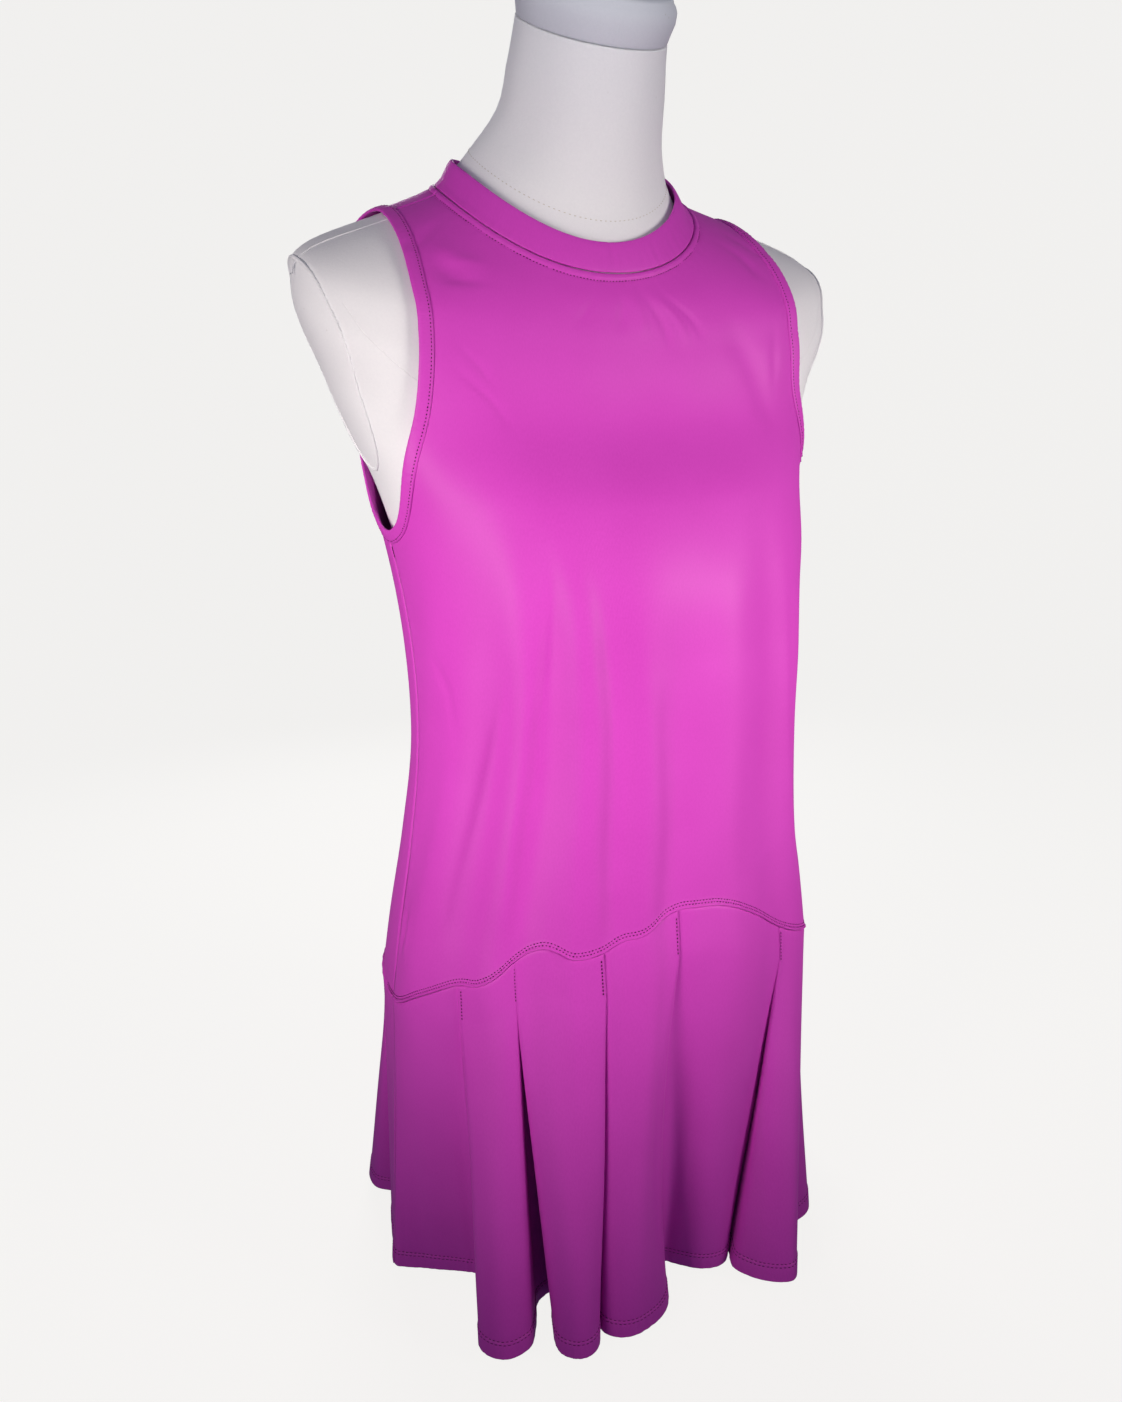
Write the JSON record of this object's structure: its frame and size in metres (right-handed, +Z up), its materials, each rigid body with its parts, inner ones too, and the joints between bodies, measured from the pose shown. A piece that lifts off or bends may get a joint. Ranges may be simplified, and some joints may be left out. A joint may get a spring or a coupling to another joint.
{
  "type": "athletic dress on dress form",
  "caption": "Sleeveless athletic dress with a crew neckband, bound armholes, a drop-waist seam and a short pleated skirt, standing on a limbless dress form with a low stand.",
  "frame": {"origin": "middle of the bounding box's underside, on the surface that the stand's base rests on", "axes": "+Z up along the dress form, -Y towards the front of the dress, +X towards the wearer's left"},
  "size_m": [0.3778, 0.3553, 0.9053],
  "materials": {
    "jersey": "smooth stretch jersey with a soft sheen",
    "form_cover": "off-white fine jersey cover",
    "form_cap": "smooth pale grey cap",
    "pole": "brushed",
    "base": "off-white powder coat"
  },
  "bodies": {
    "root": {"bodice_front": "jersey", "bodice_back": "jersey", "skirt_front": "jersey", "skirt_back": "jersey", "neckband": "jersey", "armhole_binding_right": "jersey", "armhole_binding_left": "jersey", "form_torso": "form_cover", "form_arm_plate_right": "form_cover", "form_arm_plate_left": "form_cover", "form_neck_cap": "form_cap", "stand_pole": "pole", "stand_base": "base"}
  },
  "joints": []
}
